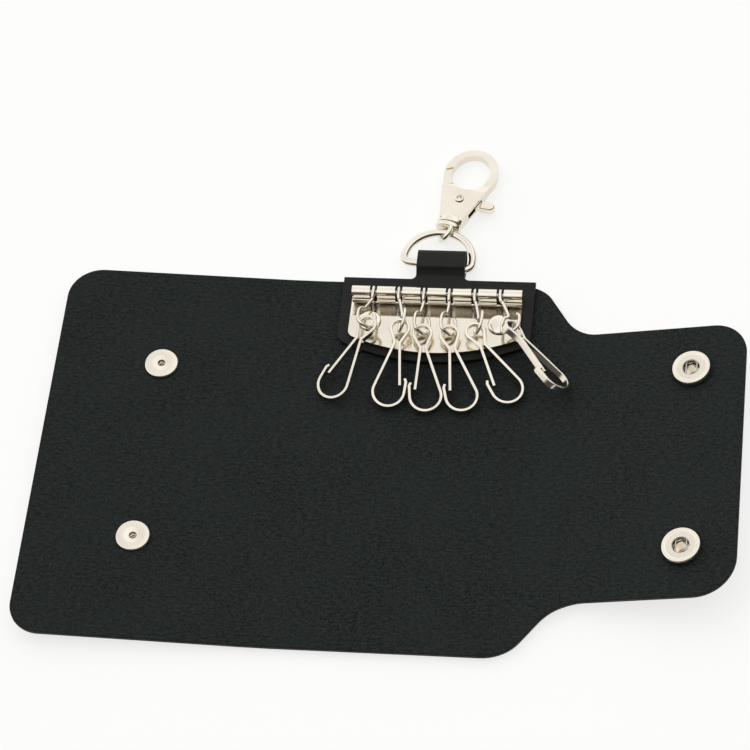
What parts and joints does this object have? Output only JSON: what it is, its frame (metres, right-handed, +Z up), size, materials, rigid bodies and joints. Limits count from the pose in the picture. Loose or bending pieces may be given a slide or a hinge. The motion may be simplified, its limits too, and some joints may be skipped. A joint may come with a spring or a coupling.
{
  "type": "key holder",
  "caption": "Open folding leather key case with a riveted hook plate carrying swinging key clips, snap fasteners on both flaps, and a D ring with a swivelling trigger hook on an upper strap.",
  "frame": {"origin": "Centre of the bottom of the bounding box of the holder as it lies open.", "axes": "X from the left panel to the flap, Y from the lower edge to the trigger hook, Z up out of the table."},
  "size_m": [0.1996, 0.1716, 0.0133],
  "materials": {
    "suede_leather": "napped inner face of black hide, smooth outer face",
    "smooth_leather": "smooth black grain",
    "nickel": "bright nickel plate",
    "steel_wire": "drawn steel"
  },
  "bodies": {
    "case_back": {"centre_panel": "suede_leather", "strap_patch": "smooth_leather", "hook_plate": "nickel", "hook_rod": "steel_wire", "plate_rivet_left": "nickel", "plate_rivet_right": "nickel", "rivet_cap_left": "nickel", "rivet_cap_right": "nickel"},
    "left_spine": {"left_spine": "suede_leather"},
    "left_panel": {"left_panel": "suede_leather", "snap_post_upper": "nickel", "snap_post_lower": "nickel", "snap_stud_upper": "nickel", "snap_stud_lower": "nickel"},
    "right_spine": {"right_spine": "suede_leather"},
    "right_flap": {"right_flap": "suede_leather", "snap_socket_upper": "nickel", "snap_socket_lower": "nickel", "socket_spring_upper": "steel_wire", "socket_spring_lower": "steel_wire", "snap_cap_upper": "nickel", "snap_cap_lower": "nickel"},
    "hanger_1": {"hanger_1": "nickel"},
    "key_clip_1": {"key_clip_1": "nickel"},
    "hanger_2": {"hanger_2": "nickel"},
    "key_clip_2": {"key_clip_2": "nickel"},
    "hanger_3": {"hanger_3": "nickel"},
    "key_clip_3": {"key_clip_3": "nickel"},
    "hanger_4": {"hanger_4": "nickel"},
    "key_clip_4": {"key_clip_4": "nickel"},
    "hanger_5": {"hanger_5": "nickel"},
    "key_clip_5": {"key_clip_5": "nickel"},
    "hanger_6": {"hanger_6": "nickel"},
    "key_clip_6": {"key_clip_6": "nickel"},
    "d_ring": {"d_ring": "nickel"},
    "swivel_eye": {"swivel_eye": "nickel"},
    "trigger_hook": {"trigger_hook": "nickel", "trigger_pin": "steel_wire", "trigger_spring": "steel_wire"},
    "trigger": {"trigger": "nickel"}
  },
  "joints": [
    {"name": "left_fold_inner", "type": "hinge", "parent": "case_back", "child": "left_spine", "pos_m": [-0.02562, -0.02467, 0.00319], "axis": [0, 1, 0], "range_deg": [0, 87.6]},
    {"name": "left_fold_outer", "type": "hinge", "parent": "left_spine", "child": "left_panel", "pos_m": [-0.03462, -0.02467, 0.00339], "axis": [0, 1, 0], "range_deg": [0, 87.6]},
    {"name": "right_fold_inner", "type": "hinge", "parent": "case_back", "child": "right_spine", "pos_m": [0.03993, -0.02467, 0.00319], "axis": [0, -1, 0], "range_deg": [0, 81.5]},
    {"name": "right_fold_outer", "type": "hinge", "parent": "right_spine", "child": "right_flap", "pos_m": [0.05356, -0.02467, 0.00448], "axis": [0, -1, 0], "range_deg": [0, 81.5]},
    {"name": "hanger_1_swing", "type": "hinge", "parent": "case_back", "child": "hanger_1", "pos_m": [-0.00897, 0.03043, 0.00634], "axis": [1, 0, 0], "range_deg": [-140, 0]},
    {"name": "key_clip_1_lift", "type": "hinge", "parent": "hanger_1", "child": "key_clip_1", "pos_m": [-0.00907, 0.0157, 0.0101], "axis": [0.829, -0.1541, -0.5375], "range_deg": [-8, 0]},
    {"name": "hanger_2_swing", "type": "hinge", "parent": "case_back", "child": "hanger_2", "pos_m": [-0.00157, 0.03043, 0.00634], "axis": [1, 0, 0], "range_deg": [-140, 0]},
    {"name": "key_clip_2_lift", "type": "hinge", "parent": "hanger_2", "child": "key_clip_2", "pos_m": [0.00025, 0.01537, 0.00855], "axis": [0.6917, -0.2012, 0.6936], "range_deg": [-40, 0]},
    {"name": "hanger_3_swing", "type": "hinge", "parent": "case_back", "child": "hanger_3", "pos_m": [0.00583, 0.03043, 0.00634], "axis": [1, 0, 0], "range_deg": [-140, 0]},
    {"name": "key_clip_3_lift", "type": "hinge", "parent": "hanger_3", "child": "key_clip_3", "pos_m": [0.00684, 0.0153, 0.00789], "axis": [0.9921, 0.1253, 0], "range_deg": [-10, 0]},
    {"name": "hanger_4_swing", "type": "hinge", "parent": "case_back", "child": "hanger_4", "pos_m": [0.01323, 0.03043, 0.00634], "axis": [1, 0, 0], "range_deg": [-140, 0]},
    {"name": "key_clip_4_lift", "type": "hinge", "parent": "hanger_4", "child": "key_clip_4", "pos_m": [0.01461, 0.01529, 0.00782], "axis": [0.656, 0.2867, -0.6982], "range_deg": [-10, 0]},
    {"name": "hanger_5_swing", "type": "hinge", "parent": "case_back", "child": "hanger_5", "pos_m": [0.02063, 0.03043, 0.00634], "axis": [1, 0, 0], "range_deg": [-140, 0]},
    {"name": "key_clip_5_lift", "type": "hinge", "parent": "hanger_5", "child": "key_clip_5", "pos_m": [0.02231, 0.01534, 0.00839], "axis": [0.5097, 0.1268, 0.851], "range_deg": [-45, 0]},
    {"name": "hanger_6_swing", "type": "hinge", "parent": "case_back", "child": "hanger_6", "pos_m": [0.02803, 0.03043, 0.00634], "axis": [1, 0, 0], "range_deg": [-150, 0]},
    {"name": "key_clip_6_lift", "type": "hinge", "parent": "hanger_6", "child": "key_clip_6", "pos_m": [0.03317, 0.01578, 0.01041], "axis": [0.9135, 0.095, 0.3955], "range_deg": [-110, 0]},
    {"name": "d_ring_swing", "type": "hinge", "parent": "case_back", "child": "d_ring", "pos_m": [0.00953, 0.04213, 0.00354], "axis": [0.9912, -0.1323, 0], "range_deg": [-60, 90]},
    {"name": "swivel_eye_swing", "type": "hinge", "parent": "d_ring", "child": "swivel_eye", "pos_m": [0.00965, 0.05442, 0.0032], "axis": [0.9912, -0.1323, 0], "range_deg": [-60, 60]},
    {"name": "hook_swivel", "type": "hinge", "parent": "swivel_eye", "child": "trigger_hook", "pos_m": [0.01044, 0.05762, 0.00302], "axis": [0.2399, 0.9693, -0.0544], "continuous": true},
    {"name": "trigger_pull", "type": "hinge", "parent": "trigger_hook", "child": "trigger", "pos_m": [0.0126, 0.06634, 0.00253], "axis": [-0.0131, -0.0528, -0.9985], "range_deg": [0, 25], "stiffness_Nm_per_rad": 0.02}
  ],
  "couplings": [
    {"joint": "left_fold_outer", "follows": "left_fold_inner", "ratio": 1},
    {"joint": "right_fold_outer", "follows": "right_fold_inner", "ratio": 1},
    {"joint": "hanger_6_swing", "follows": "right_fold_inner", "ratio": -1.7},
    {"joint": "key_clip_6_lift", "follows": "right_fold_inner", "ratio": -0.5}
  ]
}
